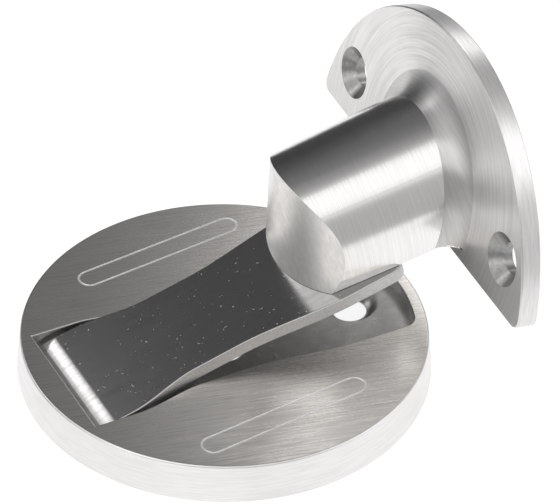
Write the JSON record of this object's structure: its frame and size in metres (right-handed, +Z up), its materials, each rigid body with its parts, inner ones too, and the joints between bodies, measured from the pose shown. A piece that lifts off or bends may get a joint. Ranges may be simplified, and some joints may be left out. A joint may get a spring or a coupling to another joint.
{
  "type": "magnetic door holder",
  "caption": "Round floor plate with a hinged flap in its pocket, lifted to meet the magnet face under a half-round door bracket.",
  "frame": {"origin": "middle of the whole footprint, on the floor under the plate", "axes": "+Z up from the floor, +X from the flap's hinge towards the door, +Y along the hinge pin"},
  "size_m": [0.0884, 0.0794, 0.0577],
  "materials": {
    "plate_steel": "satin, brushed in one direction on top",
    "flap_steel": "polished, with fine pits",
    "bracket_steel": "satin, brushed round the boss",
    "hardware_steel": "plain machined",
    "magnet_nickel": "nickel plated"
  },
  "bodies": {
    "floor_unit": {"floor_plate": "plate_steel", "hinge_pin": "hardware_steel", "pin_keeper_near": "hardware_steel", "pin_keeper_far": "hardware_steel", "keeper_screw_near": "hardware_steel", "keeper_screw_far": "hardware_steel"},
    "flap": {"flap": "flap_steel"},
    "door_unit": {"door_bracket": "bracket_steel", "magnet_cup": "hardware_steel", "magnet_ring": "magnet_nickel", "magnet_screw": "hardware_steel"}
  },
  "joints": [
    {"name": "flap_hinge", "type": "hinge", "parent": "floor_unit", "child": "flap", "pos_m": [-0.02901, -0.00158, 0.00387], "axis": [0, -1, 0], "range_deg": [-14.4, 0]},
    {"name": "door_slide", "type": "slide", "parent": "floor_unit", "child": "door_unit", "axis": [0.9677, -0.0436, 0.2485], "range_m": [0, 0.06]}
  ]
}
